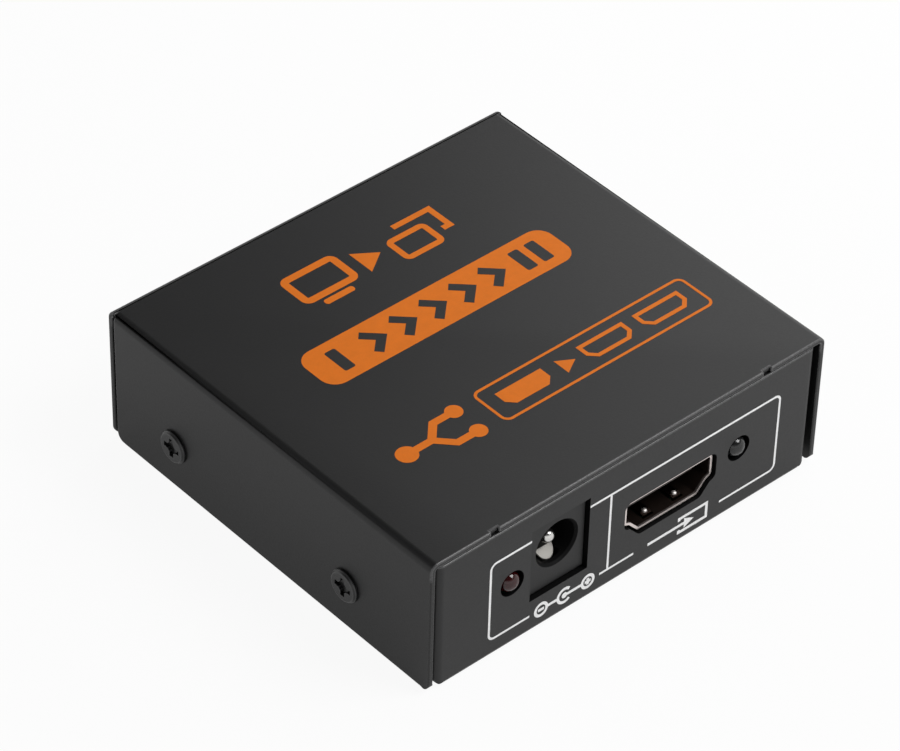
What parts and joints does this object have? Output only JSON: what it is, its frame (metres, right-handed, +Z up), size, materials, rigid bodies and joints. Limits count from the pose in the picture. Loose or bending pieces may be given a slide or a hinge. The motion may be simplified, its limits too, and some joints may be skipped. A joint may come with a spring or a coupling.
{
  "type": "hdmi splitter",
  "caption": "Flat black folded-steel box with a power jack, a video input and indicator lamps in its front panel and video outputs behind, for splitting a video signal.",
  "frame": {"origin": "on the table under the middle of the case", "axes": "+Z up, -Y out of the front panel with the jack and the input, +X to the right seen from the front"},
  "size_m": [0.0672, 0.0632, 0.0212],
  "materials": {
    "case_coat": "satin black powder coat on sheet steel",
    "screw_black": "black zinc plate",
    "plain_steel": "zinc plated",
    "board_green": "green solder mask on glass-fibre board",
    "port_metal": "nickel plated sheet",
    "port_plastic": "black moulded insulator",
    "contact_gold": "gold flash",
    "spring_metal": "bright spring strip",
    "jack_plastic": "black moulded body",
    "tinned_metal": "tin plated",
    "lamp_red": "dark red clear epoxy, unlit",
    "lamp_clear": "water-clear epoxy, unlit",
    "chip_plastic": "black moulded package",
    "ferrite": "sintered ferrite",
    "can_metal": "bright can",
    "ceramic": "tan ceramic"
  },
  "bodies": {
    "splitter": {"top_cover": "case_coat", "base_tray": "case_coat", "cover_screws": "screw_black", "board_standoffs": "plain_steel", "board_screws": "plain_steel", "circuit_board": "board_green", "input_port_shell": "port_metal", "input_port_insulator": "port_plastic", "input_port_contacts": "contact_gold", "output_1_port_shell": "port_metal", "output_1_port_insulator": "port_plastic", "output_1_port_contacts": "contact_gold", "output_2_port_shell": "port_metal", "output_2_port_insulator": "port_plastic", "output_2_port_contacts": "contact_gold", "dc_jack_body": "jack_plastic", "dc_jack_pin": "tinned_metal", "dc_jack_spring_anchor": "tinned_metal", "dc_jack_switch_contact": "tinned_metal", "power_led": "lamp_red", "signal_led": "lamp_clear", "output_1_led": "lamp_clear", "output_2_led": "lamp_clear", "led_leads": "tinned_metal", "splitter_chip": "chip_plastic", "memory_chip": "chip_plastic", "memory_chip_leads": "tinned_metal", "voltage_regulator": "chip_plastic", "voltage_regulator_leads": "tinned_metal", "power_inductor": "ferrite", "capacitor_cans": "can_metal", "capacitor_bases": "chip_plastic", "crystal": "can_metal", "chip_resistors": "chip_plastic", "chip_capacitors": "ceramic", "port_protectors": "chip_plastic"},
    "input_port_upper_fingers": {"input_port_upper_springs": "spring_metal"},
    "input_port_lower_fingers": {"input_port_lower_springs": "spring_metal"},
    "output_1_port_upper_fingers": {"output_1_port_upper_springs": "spring_metal"},
    "output_1_port_lower_fingers": {"output_1_port_lower_springs": "spring_metal"},
    "output_2_port_upper_fingers": {"output_2_port_upper_springs": "spring_metal"},
    "output_2_port_lower_fingers": {"output_2_port_lower_springs": "spring_metal"},
    "jack_leaf": {"dc_jack_spring": "spring_metal"}
  },
  "joints": [
    {"name": "input_port_upper_flex", "type": "hinge", "parent": "splitter", "child": "input_port_upper_fingers", "pos_m": [0.0069, -0.02455, 0.0117], "axis": [-1, 0, 0], "range_deg": [0, 5], "stiffness_Nm_per_rad": 0.1},
    {"name": "input_port_lower_flex", "type": "hinge", "parent": "splitter", "child": "input_port_lower_fingers", "pos_m": [0.0069, -0.02455, 0.00649], "axis": [1, 0, 0], "range_deg": [0, 5], "stiffness_Nm_per_rad": 0.1},
    {"name": "output_1_port_upper_flex", "type": "hinge", "parent": "splitter", "child": "output_1_port_upper_fingers", "pos_m": [-0.0115, 0.024, 0.0117], "axis": [1, 0, 0], "range_deg": [0, 5], "stiffness_Nm_per_rad": 0.1},
    {"name": "output_1_port_lower_flex", "type": "hinge", "parent": "splitter", "child": "output_1_port_lower_fingers", "pos_m": [-0.0115, 0.024, 0.00649], "axis": [-1, 0, 0], "range_deg": [0, 5], "stiffness_Nm_per_rad": 0.1},
    {"name": "output_2_port_upper_flex", "type": "hinge", "parent": "splitter", "child": "output_2_port_upper_fingers", "pos_m": [0.0115, 0.024, 0.0117], "axis": [1, 0, 0], "range_deg": [0, 5], "stiffness_Nm_per_rad": 0.1},
    {"name": "output_2_port_lower_flex", "type": "hinge", "parent": "splitter", "child": "output_2_port_lower_fingers", "pos_m": [0.0115, 0.024, 0.00649], "axis": [-1, 0, 0], "range_deg": [0, 5], "stiffness_Nm_per_rad": 0.1},
    {"name": "jack_leaf_flex", "type": "hinge", "parent": "splitter", "child": "jack_leaf", "pos_m": [-0.0119, -0.0188, 0.00755], "axis": [1, 0, 0], "range_deg": [0, 4], "stiffness_Nm_per_rad": 0.2}
  ]
}
